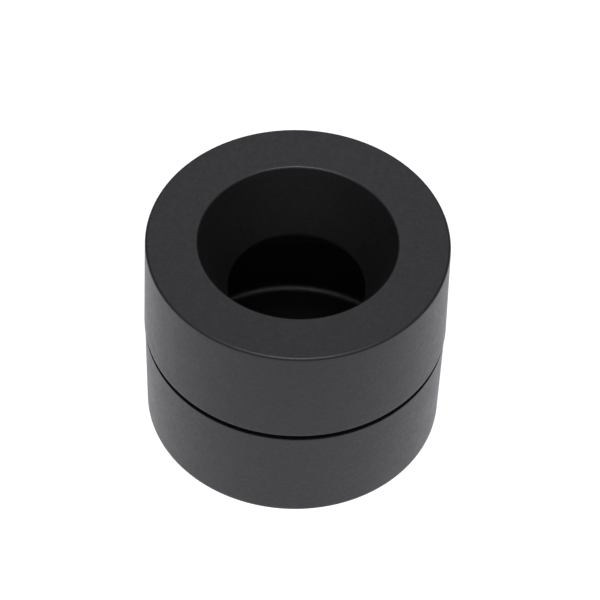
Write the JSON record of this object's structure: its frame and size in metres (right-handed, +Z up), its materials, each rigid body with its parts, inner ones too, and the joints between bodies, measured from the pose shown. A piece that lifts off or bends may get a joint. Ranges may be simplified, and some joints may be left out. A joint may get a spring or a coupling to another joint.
{
  "type": "magnetic paper clip holder",
  "caption": "Round matt black desk pot for paper clips: a plain cup and a lift-off top with a flat rim and a funnel mouth, in which a hidden ring magnet holds the clips.",
  "frame": {"origin": "middle of the underside, on the plane that the feet stand on", "axes": "+Z up along the pot's own axis; +X and +Y level, with the feet halfway between them"},
  "size_m": [0.073, 0.073, 0.0583],
  "materials": {
    "shell_plastic": "matte",
    "sleeve_plastic": "matte",
    "magnet_ferrite": "ground, unplated",
    "ring_rubber": "matte",
    "foot_rubber": "matte"
  },
  "bodies": {
    "base": {"lower_cup": "shell_plastic", "foot_1": "foot_rubber", "foot_2": "foot_rubber", "foot_3": "foot_rubber", "foot_4": "foot_rubber"},
    "ring": {"seat_ring": "ring_rubber"},
    "top": {"upper_housing": "shell_plastic", "ring_magnet": "magnet_ferrite", "inner_sleeve": "sleeve_plastic"}
  },
  "joints": [
    {"name": "top_swivel", "type": "hinge", "parent": "base", "child": "ring", "pos_m": [0, 0, 0.0275], "axis": [0, 0, 1], "continuous": true},
    {"name": "top_lift", "type": "slide", "parent": "ring", "child": "top", "axis": [0, 0, 1], "range_m": [0, 0.04]}
  ]
}
